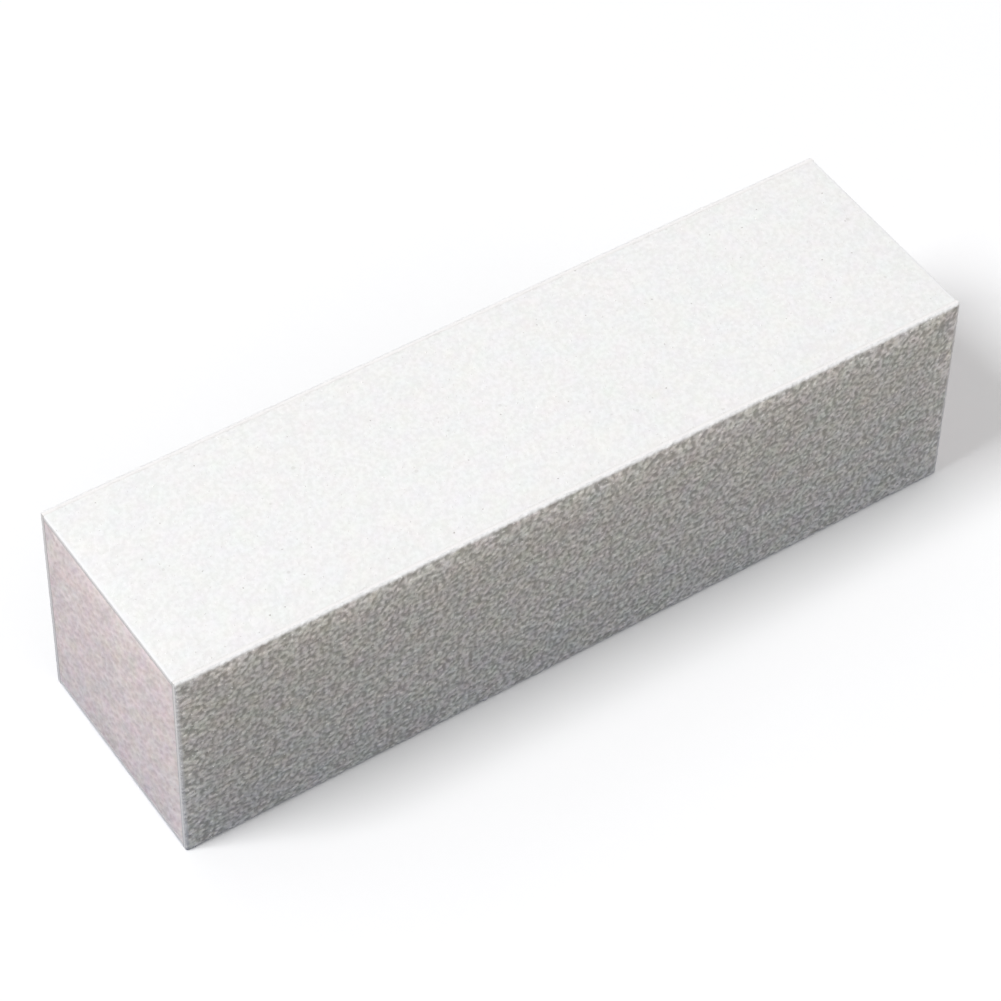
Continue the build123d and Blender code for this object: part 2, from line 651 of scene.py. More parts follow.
class Palette:
    """Wires one material: its shader, its coordinates and the shared groups."""

    def __init__(self, name: str, roughness: float, specular: float) -> None:
        """Starts a material.

        Args:
            name: the material's name.
            roughness: the shader's roughness where nothing is joined to it.
            specular: how much it shines beside plain plastic, which is 0.5.
        """
        self.material = bpy.data.materials.new(name)
        self.material.use_nodes = True
        tree = self.material.node_tree
        tree.nodes.clear()
        self.wiring = Wiring(tree)
        inputs = {"Roughness": roughness, "Specular IOR Level": specular}
        self.shader = self.wiring.node("ShaderNodeBsdfPrincipled", inputs)
        output = self.wiring.node("ShaderNodeOutputMaterial")
        tree.links.new(self.shader.outputs[0], output.inputs[0])
        coordinates = self.wiring.node("ShaderNodeTexCoord")
        self.place = coordinates.outputs["Object"]
        self.facing = coordinates.outputs["Normal"]

    def use(self, group: bpy.types.NodeTree, **inputs: Any) -> bpy.types.NodeOutputs:
        """Places a shared group on the object's coordinates.

        Args:
            group: the node group.
            inputs: its inputs, with underscores for spaces in their names.

        Returns:
            The group's outputs.
        """
        named = {key.replace("_", " "): value for key, value in inputs.items()}
        made = self.wiring.node("ShaderNodeGroup", node_tree=group)
        for key, value in {"Vector": self.place, **named}.items():
            self.wiring.feed(made.inputs[key], value)
        return made.outputs

    def attribute(self, name: str) -> bpy.types.NodeOutputs:
        """Reads an attribute of the piece's mesh."""
        return self.wiring.node("ShaderNodeAttribute", attribute_name=name).outputs

    def shaded(self, colour: Any, amount: Any) -> Socket:
        """Makes a colour lighter or darker.

        Args:
            colour: the colour or socket.
            amount: the change, 0 for none and 0.1 for a tenth lighter.

        Returns:
            The changed colour.
        """
        factor = self.wiring.maths("ADD", amount, 1.0)
        return self.wiring.vector("SCALE", colour, factor)

    def painted_end_shade(self, colour: Any, amount: float) -> Socket:
        """Paints shade on the faces that look along the block: darkens a colour by this share there,
        and lightens it where the share is negative.
        """
        part = self.wiring.node("ShaderNodeSeparateXYZ", {0: self.facing}).outputs
        along = self.wiring.maths("ABSOLUTE", part[0])
        return self.shaded(colour, self.wiring.ramp(along, 0.4, 0.9, 0.0, -amount))

    def bump(self, height: Any, depth: float, under: Any = None) -> Socket:
        """Adds a bump.

        Args:
            height: the height from 0 to 1.
            depth: how deep that is, in metres.
            under: another normal to lay it on.

        Returns:
            The normal.
        """
        inputs = {"Height": height, "Distance": depth, "Strength": 1.0}
        if under is not None:
            inputs["Normal"] = under
        return self.wiring.node("ShaderNodeBump", inputs).outputs[0]

    def set(self, **inputs: Any) -> None:
        """Feeds the shader's sockets, with underscores for spaces in their names."""
        for key, value in inputs.items():
            self.wiring.feed(self.shader.inputs[key.replace("_", " ")], value)


@dataclass(frozen=True)
class AbrasiveFinish:
    """Resin set with fine white grit: pebbled, matt, with rubbed edges, a few dark grains, and painted
    shade in its hollows.
    """

    name: str = "white_grit_in_resin"
    # The crest and hollow colours paint light and shade by the relief's height: painted shade in the
    # hollows, lighter crests
    crest: Colour = (0.975, 0.960, 0.920)
    hollow: Colour = (0.535, 0.528, 0.496)
    dark_grain: Colour = (0.560, 0.540, 0.510)
    rubbed: Colour = (0.860, 0.862, 0.866)
    grain_size: float = 0.50
    grain_depth: float = 0.045 * MM
    # Painted shade in the packed grains' valleys, and a little painted light on their tops
    cavity: float = 0.15
    uneven_tone: float = 0.12
    drift: float = 0.045
    edge_lift: float = 0.15
    # Painted shade on the faces that look along the block, as a share; a negative share paints them
    # lighter
    end_grey: float = 0.20

    @classmethod
    def of_grade(cls, grade: Grade) -> "AbrasiveFinish":
        """The finish of one grade of grit."""
        if grade is Grade.FINE:
            return cls(
                name="fine_white_grit",
                crest=(0.892, 0.888, 0.876),
                hollow=(0.840, 0.834, 0.820),
                grain_size=0.36,
                grain_depth=0.012 * MM,
                cavity=0.02,
                uneven_tone=0.02,
                drift=0.02,
                edge_lift=0.0,
                end_grey=-0.05,
            )
        return cls(name="medium_white_grit")

    def material(self, effects: Effects) -> bpy.types.Material:
        """Builds the material.

        Args:
            effects: the shared groups.

        Returns:
            The material.
        """
        palette = Palette(self.name, roughness=0.9, specular=0.2)
        wiring = palette.wiring
        height = palette.attribute(HEIGHT)["Fac"]
        grain = palette.use(effects.grain, Size=self.grain_size)
        powder = palette.use(effects.grain, Size=0.14)
        patches = palette.use(effects.mottle, Size=7.0, Amount=0.008)[0]
        # Painted shade: darker in the relief's hollows, lighter on its crests
        colour = wiring.blend(wiring.ramp(height, 0.35, 0.64), self.hollow, self.crest)
        spread = wiring.centred(grain["Tone"], self.uneven_tone)
        # Painted shade in the grains' valleys, lighter on their tops
        shade = wiring.maths("MULTIPLY", wiring.maths("SUBTRACT", grain["Height"], 0.6), self.cavity)
        uneven = wiring.maths("ADD", wiring.maths("ADD", spread, shade), patches)
        colour = palette.shaded(colour, uneven)
        stain = palette.use(effects.stain, Size=2.2, Amount=self.drift)[0]
        colour = wiring.vector("MULTIPLY", colour, stain)
        dark = palette.use(effects.specks, Size=0.6, Share=0.008, Seed=3.0)[0]
        colour = wiring.blend(wiring.maths("MULTIPLY", dark, 0.3), colour, self.dark_grain)
        # Lighter within about 4 mm of the block's edges
        lifted = palette.use(effects.rim, Width=4.2, Raggedness=1.0)[0]
        colour = palette.shaded(colour, wiring.maths("MULTIPLY", lifted, self.edge_lift))
        edge = palette.use(effects.rim, Width=0.5, Raggedness=0.15)[0]
        colour = wiring.blend(wiring.ramp(edge, 0.1, 0.75, 0.0, 0.84), colour, self.rubbed)
        # Painted shade on the faces that look along the block
        colour = palette.painted_end_shade(colour, self.end_grey)
        roughness = wiring.ramp(powder["Tone"], 0.8, 1.0, 0.95, 0.6)
        packed = palette.bump(grain["Height"], self.grain_depth)
        normal = palette.bump(powder["Height"], 0.15 * self.grain_depth, packed)
        palette.set(Base_Color=colour, Roughness=roughness, Normal=normal)
        return palette.material


@dataclass(frozen=True)
class GrainFinish:
    """Loose-looking white mineral grains, each with its own tone, a few of them smoky."""

    name: str = "white_mineral_grain"
    pale: Colour = (0.885, 0.876, 0.858)
    dull: Colour = (0.835, 0.825, 0.800)
    smoky: Colour = (0.560, 0.545, 0.520)
    smoky_share: float = 0.03

    def material(self, effects: Effects) -> bpy.types.Material:
        """Builds the material.

        Args:
            effects: the shared groups.

        Returns:
            The material.
        """
        palette = Palette(self.name, roughness=0.6, specular=0.3)
        wiring = palette.wiring
        luck = wiring.node("ShaderNodeSeparateXYZ", {0: palette.attribute(TONE)["Vector"]}).outputs
        colour = wiring.blend(luck[0], self.dull, self.pale)
        colour = wiring.blend(wiring.maths("LESS_THAN", luck[1], self.smoky_share), colour, self.smoky)
        facets = palette.use(effects.grain, Size=0.05)
        colour = palette.shaded(colour, wiring.centred(facets["Tone"], 0.06))
        roughness = wiring.ramp(luck[2], 0.0, 1.0, 0.35, 0.85)
        normal = palette.bump(facets["Height"], 0.004 * MM)
        palette.set(Base_Color=colour, Roughness=roughness, Normal=normal)
        return palette.material


@dataclass(frozen=True)
class FoamFinish:
    """Knife-cut closed-cell foam: faintly pink, with pale cell walls and painted shade in its cell
    pits.
    """

    name: str = "cut_foam"
    # The cell colour fills the pits of the relief: painted shade
    wall: Colour = (0.930, 0.836, 0.824)
    cell: Colour = (0.795, 0.702, 0.692)
    fleck: Colour = (0.965, 0.925, 0.900)
    pore: Colour = (0.700, 0.590, 0.590)

    def material(self, effects: Effects) -> bpy.types.Material:
        """Builds the material.

        Args:
            effects: the shared groups.

        Returns:
            The material.
        """
        palette = Palette(self.name, roughness=0.95, specular=0.2)
        wiring = palette.wiring
        height = palette.attribute(HEIGHT)["Fac"]
        # The knife drags the cells a little way along its cut
        inputs = {"Vector": palette.place, "Rotation": (-KNIFE_TURN, 0.0, 0.0)}
        inputs["Scale"] = (1.0, KNIFE_DRAG, 1.0)
        drawn = wiring.node("ShaderNodeMapping", inputs, vector_type="TEXTURE").outputs[0]
        fine = palette.use(effects.grain, Size=0.2)
        # Painted shade: the cell colour in the relief's pits, the wall colour on its tops
        colour = wiring.blend(wiring.ramp(height, 0.25, 0.75), self.cell, self.wall)
        patches = palette.use(effects.mottle, Vector=drawn, Size=2.4, Amount=0.15, Seed=9.0)[0]
        spread = wiring.centred(fine["Tone"], 0.04)
        colour = palette.shaded(colour, wiring.maths("ADD", spread, patches))
        stain = palette.use(effects.stain, Vector=drawn, Size=1.6, Amount=0.05, Seed=4.0)[0]
        colour = wiring.vector("MULTIPLY", colour, stain)
        fleck = palette.use(effects.specks, Vector=drawn, Size=0.62, Share=0.32, Seed=6.0)[0]
        colour = wiring.blend(wiring.maths("MULTIPLY", fleck, 0.5), colour, self.fleck)
        pore = palette.use(effects.specks, Vector=drawn, Size=0.58, Share=0.24, Seed=16.0)[0]
        colour = wiring.blend(wiring.maths("MULTIPLY", pore, 0.6), colour, self.pore)
        hollow = wiring.maths("SUBTRACT", 1.0, fine["Height"])
        roughness = wiring.ramp(fine["Tone"], 0.0, 1.0, 0.88, 1.0)
        normal = palette.bump(hollow, 0.006 * MM)
        palette.set(Base_Color=colour, Roughness=roughness, Normal=normal)
        return palette.material


@dataclass(frozen=True)
class PaperFinish:
    """Abrasive backing paper: off-white, with fibres along its cut edges."""

    name: str = "backing_paper"
    light: Colour = (0.915, 0.892, 0.880)
    dark: Colour = (0.870, 0.848, 0.838)

    def material(self, effects: Effects) -> bpy.types.Material:
        """Builds the material.

        Args:
            effects: the shared groups.

        Returns:
            The material.
        """
        palette = Palette(self.name, roughness=0.9, specular=0.25)
        wiring = palette.wiring
        fibres = palette.use(effects.grain, Size=0.09, Stretch=(0.35, 0.35, 1.0))
        patches = palette.use(effects.mottle, Size=1.2, Amount=0.05, Seed=5.0)[0]
        colour = wiring.blend(fibres["Tone"], self.dark, self.light)
        roughness = wiring.ramp(fibres["Tone"], 0.0, 1.0, 0.82, 0.98)
        normal = palette.bump(fibres["Height"], 0.01 * MM)
        # Painted shade on the paper's end faces
        colour = palette.painted_end_shade(palette.shaded(colour, patches), 0.03)
        palette.set(Base_Color=colour, Roughness=roughness, Normal=normal)
        return palette.material


@dataclass(frozen=True)
class GlueFinish:
    """Cured contact adhesive: a dull, slightly yellow line with tiny bubbles."""

    name: str = "cured_adhesive"
    film: Colour = (0.850, 0.835, 0.815)
    bubble: Colour = (0.880, 0.870, 0.855)

    def material(self, effects: Effects) -> bpy.types.Material:
        """Builds the material.

        Args:
            effects: the shared groups.

        Returns:
            The material.
        """
        palette = Palette(self.name, roughness=0.5, specular=0.5)
        wiring = palette.wiring
        bubbles = palette.use(effects.specks, Size=0.25, Share=0.35, Seed=7.0)[0]
        patches = palette.use(effects.mottle, Size=0.8, Amount=0.06, Seed=8.0)[0]
        colour = palette.shaded(wiring.blend(bubbles, self.film, self.bubble), patches)
        # Painted shade on the glue's end faces
        colour = palette.painted_end_shade(colour, 0.20)
        roughness = wiring.ramp(patches, -0.06, 0.06, 0.38, 0.62)
        palette.set(Base_Color=colour, Roughness=roughness, Normal=palette.bump(bubbles, 0.01 * MM))
        return palette.material


# ----------------------------------------------------------------------------------------------
# Meshes
# ----------------------------------------------------------------------------------------------


# The flat layouts that finishes are baked into run from 0 to 1.  These are the clear margins in
# them, the gap between a skin's halves, and the narrow columns for its underside and its ends
MARGIN = 0.005
FACE_MARGIN = 0.001
HALVES_GAP = 1.0 * MM
UNDERSIDE_COLUMN = (0.93, 0.96)
END_COLUMNS = (0.970, 0.985)
END_WIDTH = 0.010


def within(share: np.ndarray, margin: float) -> np.ndarray:
    """Squeezes values that run from 0 to 1, to leave a margin at both ends."""
    return margin + share * (1.0 - 2.0 * margin)


def even(low: float, high: float, pitch: float) -> np.ndarray:
    """Evenly spaced values from low to high, about a pitch apart.

    Args:
        low: the first value.
        high: the last value.
        pitch: the spacing aimed at.

    Returns:
        The values, both ends included.
    """
    return np.linspace(low, high, max(1, round((high - low) / pitch)) + 1)


@dataclass(frozen=True)
class Crown:
    """A face that stands a little proud of its edges, easing down to them."""

    rise: float
    reach: float

    def height(self, *from_edges: np.ndarray) -> np.ndarray:
        """How far the face stands out.

        Args:
            from_edges: each point's distances from the nearest edges, one array for each direction.

        Returns:
            The height at each point, which is 0 on every edge.
        """
        share = np.ones_like(from_edges[0])
        for inset in from_edges:
            share = share * (1.0 - np.exp(-inset / self.reach))
        return self.rise * share


def build_mesh(
    name: str,
    points: np.ndarray,
    faces: list[tuple[int, ...]],
    relief: np.ndarray,
    layout: np.ndarray | None = None,
) -> bpy.types.Mesh:
    """Makes a mesh and stores its relief vectors.

    Args:
        name: the mesh's name.
        points: its vertices.
        faces: each face's vertices, counter-clockwise from outside.
        relief: for each vertex, the way that relief raises it, shorter where it raises less.
        layout: the flat place of every face corner in turn, from 0 to 1, to bake the finish into.

    Returns:
        The mesh.
    """
    mesh = bpy.data.meshes.new(name)
    mesh.from_pydata(points.tolist(), [], faces)
    stored = mesh.attributes.new(RELIEF, "FLOAT_VECTOR", "POINT")
    stored.data.foreach_set("vector", relief.astype(np.float32).ravel())
    if layout is not None:
        mesh.uv_layers.new(name=BAKE_MAP).uv.foreach_set("vector", layout.astype(np.float32).ravel())
    mesh.update()
    return mesh


def smooth_but_corners(mesh: bpy.types.Mesh, angle: float = math.radians(50)) -> None:
    """Shades a mesh smooth and leaves its sharp corners sharp.

    Args:
        mesh: the mesh.
        angle: the fold past which an edge stays sharp.
    """
    mesh.polygons.foreach_set("use_smooth", [len(face.vertices) == 4 for face in mesh.polygons])
    mesh.set_sharp_from_angle(angle=angle)


@dataclass(frozen=True)
class Slab:
    """The space of one layer of a strip, and the ways along, across and out of it."""

    side: Side
    low: Vector
    high: Vector
    # The least share of the relief on a rounded corner, and what an end's edge takes from it
    corner_relief: float = 0.25
    end_wear: float = 0.6

    @classmethod
    def of_node(cls, side: Side, node: str) -> "Slab":
        """Reads a CAD node's box as a slab on that side.

        Args:
            side: the long face it lies on.
            node: the CAD node.

        Returns:
            The slab, with its corners as distances along, across and outward.
        """
        corners = [cls.turned(side, corner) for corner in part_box(node)]
        low = Vector(map(min, *corners))
        high = Vector(map(max, *corners))
        return cls(side, low, high)

    @staticmethod
    def turned(side: Side, place: Vector) -> Vector:
        """A place as distances along, across and outward."""
        return Vector((place.x, place.dot(side.across), place.dot(side.outward)))

    def back(self, local: np.ndarray) -> np.ndarray:
        """Turns points or directions from along, across and outward to the frame's own axes.

        Args:
            local: rows of along, across and outward.

        Returns:
            Rows of X, Y and Z.
        """
        axes = np.array([(1.0, 0.0, 0.0), tuple(self.side.across), tuple(self.side.outward)])
        return local @ axes

    def profile(
        self, pitch: float, radius: float, arc_steps: int, wall_steps: int
    ) -> tuple[np.ndarray, np.ndarray]:
        """Draws the layer's cross-section, from one lower corner over the face to the other.

        Args:
            pitch: the spacing of points across the working face.
            radius: the rounding of its two outer corners, or 0.
            arc_steps: how many steps each rounding takes.
            wall_steps: how many steps each side wall takes.

        Returns:
            The points across and outward, and the outward normal at each.
        """
        v0, v1, w0, w1 = self.low.y, self.high.y, self.low.z, self.high.z
        wall = np.linspace(w0, w1 - radius, wall_steps + 1)[: None if radius else -1]
        left = [((v0, w), (-1.0, 0.0)) for w in wall]
        for step in range(1, arc_steps if radius else 0):
            turn = math.radians(90) * step / arc_steps
            aim = (-math.cos(turn), math.sin(turn))
            left.append(((v0 + radius + radius * aim[0], w1 - radius + radius * aim[1]), aim))
        face = [((v, w1), (0.0, 1.0)) for v in even(v0 + radius, v1 - radius, pitch)]
        right = [((v0 + v1 - v, w), (-a, b)) for (v, w), (a, b) in reversed(left)]
        points, normals = zip(*(left + face + right))
        return np.array(points), np.array(normals)

    def skin(
        self, name: str, pitch: float, crown: Crown, radius: float, end_radius: float
    ) -> bpy.types.Mesh:
        """Makes a closed layer with a finely divided working face.

        Args:
            name: the mesh's name.
            pitch: the spacing of points on the working face.
            crown: how the working face stands proud of its edges.
            radius: the rounding of its outer long corners, or 0 where another strip covers them.
            end_radius: the rounding of the edges round its two ends.

        Returns:
            The mesh.
        """
        section, normals = self.profile(pitch, radius, arc_steps=3, wall_steps=2)
        turn = np.radians([90.0, 60.0, 30.0])
        insets = end_radius * (1.0 - np.sin(turn))
        drops = end_radius * (1.0 - np.cos(turn))
        middle = even(self.low.x + end_radius, self.high.x - end_radius, pitch)
        along = np.concatenate([self.low.x + insets, middle, self.high.x - insets[::-1]])
        drop = np.concatenate([drops, np.zeros(len(middle)), drops[::-1]])
        rows, count = len(along), len(section)
        from_ends = np.repeat(np.minimum(along - self.low.x, self.high.x - along)[:, None], count, 1)
        inset = np.minimum(section[:, 0] - self.low.y, self.high.y - section[:, 0])
        upright = np.clip(normals[:, 1], 0.0, 1.0)
        eased = normals if radius else normals * upright[:, None]
        grid = np.empty((rows, count, 3))
        grid[:, :, 0] = along[:, None]
        grid[:, :, 1:] = section - drop[:, None, None] * eased
        grid[:, :, 2] += crown.height(from_ends, np.repeat(inset[None, :], rows, 0)) * upright
        share = np.maximum(upright**0.5, self.corner_relief if radius else 0.0)
        kept = 1.0 - self.end_wear * drop / end_radius
        aim = np.zeros((rows, count, 3))
        aim[:, :, 1:] = normals * share[:, None] * kept[:, None, None]
        first = np.arange(rows - 1)[:, None] * count + np.arange(count)
        follows = np.arange(rows - 1)[:, None] * count + (np.arange(count) + 1) % count
        quads = np.stack([first, first + count, follows + count, follows], -1).reshape(-1, 4)
        near_cap = tuple(range(count))
        far_cap = tuple((rows - 1) * count + i for i in reversed(range(count)))
        faces = [tuple(q) for q in quads.tolist()] + [near_cap, far_cap]
        points, relief = self.back(grid.reshape(-1, 3)), self.back(aim.reshape(-1, 3))
        return build_mesh(name, points, faces, relief, self.unrolled(along, section))

    @staticmethod
    def unrolled(along: np.ndarray, section: np.ndarray) -> np.ndarray:
        """Lays a skin out flat: its halves one above the other, its hidden parts beside them.

        Args:
            along: the stations along the strip.
            section: the points of the cross-section.

        Returns:
            The flat place of every face corner in turn.
        """
        rows, count = len(along), len(section)
        steps = np.hypot(*np.diff(section, axis=0).T)
        around = np.concatenate([[0.0], np.cumsum(steps)])
        lane = around[-1] + HALVES_GAP
        half = rows // 2
        low = along[: half + 1] - along[0]
        high = along[half:] - along[half]
        starts = np.concatenate([low[:-1], high[:-1]])
        ends = np.concatenate([low[1:], high[1:]])
        lift = np.where(np.arange(rows - 1) < half, 0.0, lane)
        spots = np.empty((rows - 1, count, 4, 2))
        for corner, (edge, step) in enumerate(((starts, 0), (ends, 0), (ends, 1), (starts, 1))):
            spots[:, :-1, corner, 0] = edge[:, None]
            spots[:, :-1, corner, 1] = around[step : step + count - 1]
        spots[:, :-1, :, 1] += lift[:, None, None]
        spots[:, :-1] = within(spots[:, :-1] / (around[-1] + lane), FACE_MARGIN)
        ratio = within((along - along[0]) / (along[-1] - along[0]), MARGIN)
        left, right = UNDERSIDE_COLUMN
        for corner, (end, column) in enumerate(((0, left), (1, left), (1, right), (0, right))):
            spots[:, -1, corner, 0] = column
            spots[:, -1, corner, 1] = ratio[end : rows - 1 + end]
        caps = (section - section.min(0)) / np.ptp(section, axis=0)
        near, far = (
            np.stack([column + END_WIDTH * caps[:, 1], within(caps[:, 0], MARGIN)], -1)
            for column in END_COLUMNS
        )
        return np.concatenate([spots.reshape(-1, 2), near, far[::-1]])


@dataclass(frozen=True)
class Brick:
    """A closed box divided on all six faces, for a layer whose edges alone show."""

    low: Vector
    high: Vector

    def mesh(self, name: str, counts: tuple[int, int, int]) -> bpy.types.Mesh:
        """Makes the box with a relief that raises every face near an edge of the box.

        Args:
            name: the mesh's name.
            counts: how many cells along X, Y and Z.

        Returns:
            The mesh.
        """
        index: dict[tuple[int, int, int], int] = {}
        points: list[tuple[float, ...]] = []
        relief: list[tuple[float, ...]] = []
        faces: list[tuple[int, ...]] = []

        def corner(cell: tuple[int, int, int]) -> int:
            """The vertex at a place in the box's grid, made when it is first asked for."""
            if cell not in index:
                index[cell] = len(points)
                share = [c / n for c, n in zip(cell, counts)]
                points.append(tuple(a + (b - a) * s for a, b, s in zip(self.low, self.high, share)))
                aim = Vector([(c == n) - (c == 0) for c, n in zip(cell, counts)])
                relief.append(tuple(aim.normalized()))
            return index[cell]

        for axis in range(3):
            u, v = (axis + 1) % 3, (axis + 2) % 3
            for i in range(counts[u]):
                for j in range(counts[v]):
                    for end in (0, counts[axis]):
                        ring = []
                        for du, dv in ((0, 0), (1, 0), (1, 1), (0, 1)):
                            cell = [0, 0, 0]
                            cell[axis], cell[u], cell[v] = end, i + du, j + dv
                            ring.append(corner(tuple(cell)))
                        faces.append(tuple(ring if end else reversed(ring)))
        return build_mesh(name, np.array(points), faces, np.array(relief))


# ----------------------------------------------------------------------------------------------
# The block
# ----------------------------------------------------------------------------------------------


@dataclass
class Workshop:
    """The trees, groups and finishes that every sub-assembly draws on."""

    relief: bpy.types.NodeTree
    grit: bpy.types.NodeTree
    abrasive: dict[Grade, bpy.types.Material]
    grain: bpy.types.Material
    foam: bpy.types.Material
    paper: bpy.types.Material
    glue: bpy.types.Material

    @classmethod
    def opened(cls, low: Vector, high: Vector) -> "Workshop":
        """Builds all of them once.

        Args:
            low: the lowest corner of the block's box.
            high: its highest corner.

        Returns:
            The workshop.
        """
        effects = Effects(low, high)
        return cls(
            relief=relief_tree(),
            grit=grit_tree(),
            abrasive={grade: AbrasiveFinish.of_grade(grade).material(effects) for grade in Grade},
            grain=GrainFinish().material(effects),
            foam=FoamFinish().material(effects),
            paper=PaperFinish().material(effects),
            glue=GlueFinish().material(effects),
        )


def settle(piece: bpy.types.Object, slot: str, *nodes: str) -> bpy.types.Object:
    """Joins a finished piece to the frame and reports it.

    Args:
        piece: the piece.
        slot: the name of a material slot; not used.
        nodes: the CAD nodes that it stands for.

    Returns:
        The same piece.
    """
    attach(piece, BODY)
    if nodes:
        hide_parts(*nodes)
    piece.data.calc_loop_triangles()
    log.info("%s: %d triangles", piece.name, len(piece.data.loop_triangles))
    return piece


@dataclass
class AbrasiveStrip:
    """One strip: glue on the foam, paper on the glue, and a coat of resin and grit on the paper."""

    side: Side
    seed: int
    pitch: float = 0.16 * MM
    corner_radius: float = 0.2 * MM
    end_radius: float = 0.15 * MM
    pebble_size: float = 0.5 * MM
    pebble_height: float = 0.03 * MM
    edge_pitch: float = 0.8 * MM
    crown: Crown = Crown(rise=0.30 * MM, reach=2.0 * MM)
    fine_size: float = 0.45 * MM
    fine_height: float = 0.22 * MM
    fine_grade_share: float = 0.5
    swell_size: float = 9.0 * MM
    swell_height: float = 0.03 * MM
    glue_unevenness: float = 0.02 * MM
    paper_unevenness: float = 0.01 * MM
    grain_radius: float = 0.085 * MM
    grain_spacing: float = 0.75 * MM
    grains_per_area: float = 12.0e6
    grain_bedding: float = 0.6

    def node(self, layer: Layer) -> str:
        """The CAD node of one layer of this strip."""
        return f"{self.side.value}_{layer.value}"

    def title(self, piece: str) -> str:
        """The name of one piece of this strip."""
        return f"{self.side.value}_{piece}"

    def build(self, shop: Workshop) -> list[bpy.types.Object]:
        """Builds every layer.

        Args:
            shop: the trees and finishes.

        Returns:
            The strip's pieces, from the foam outwards.
        """
        glue = self.thin_layer(shop, Layer.GLUE, shop.glue, self.glue_unevenness)
        paper = self.thin_layer(shop, Layer.PAPER, shop.paper, self.paper_unevenness)
        coat = self.coat(shop)
        grit = self.grit(shop, coat)
        return [
            settle(glue, "adhesive", self.node(Layer.GLUE)),
            settle(paper, "backing_paper", self.node(Layer.PAPER)),
            settle(coat, "abrasive", self.node(Layer.COAT)),
            settle(grit, "abrasive"),
        ]

    def thin_layer(
        self, shop: Workshop, layer: Layer, finish: bpy.types.Material, unevenness: float
    ) -> bpy.types.Object:
        """Makes the glue film or the paper, with slightly uneven cut edges.

        Args:
            shop: the trees and finishes.
            layer: which of the two it is.
            finish: its material.
            unevenness: how far its edge wanders, and how far it is roughened.

        Returns:
            The piece.
        """
        name = self.title(layer.name.lower())
        low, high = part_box(self.node(layer))
        counts = tuple(max(1, round(size / self.edge_pitch)) for size in high - low)
        base = Brick(low, high).mesh(name + "_base", counts)
        values = {
            "Cell Size": 1.1 * MM,
            "Cell Height": unevenness,
            "Fine Size": 0.5 * MM,
            "Fine Height": unevenness,
            "Swell Height": 0.0,
            "Seed": self.seed + 40,
            "Material": finish,
        }
        piece = grown(name, base, shop.relief, values)
        smooth_but_corners(piece.data)
        return piece

    def coat(self, shop: Workshop) -> bpy.types.Object:
        """Makes the resin coat with its pebbled working face."""
        name = self.title("coat")
        radius = self.corner_radius if self.side.forms_corners else 0.0
        coarseness = self.fine_grade_share if self.side.grade is Grade.FINE else 1.0
        # The block's own weight presses the face that it stands on flat
        crown = Crown(0.0, self.crown.reach) if self.side is Side.BOTTOM else self.crown
        slab = Slab.of_node(self.side, self.node(Layer.COAT))
        base = slab.skin(name + "_base", self.pitch, crown, radius, self.end_radius)
        values = {
            "Cell Size": self.pebble_size,
            "Cell Height": self.pebble_height * coarseness,
            "Softness": 0.15,
            "Fine Size": self.fine_size,
            "Fine Height": self.fine_height * coarseness,
            "Swell Size": self.swell_size,
            "Swell Height": self.swell_height,
            "Seed": self.seed,
            "Material": shop.abrasive[self.side.grade],
        }
        piece = grown(name, base, shop.relief, values)
        smooth_but_corners(piece.data)
        return piece

    def grit(self, shop: Workshop, coat: bpy.types.Object) -> bpy.types.Object:
        """Beds the coarser grains in the coat's working face."""
        values = {
            "Spacing": self.grain_spacing,
            "Density": self.grains_per_area,
            "Grain Radius": self.grain_radius,
            "Bedding": self.grain_bedding,
            "Seed": self.seed,
            "Material": shop.grain,
        }
        return grown(self.title("grit"), coat.data.copy(), shop.grit, values)


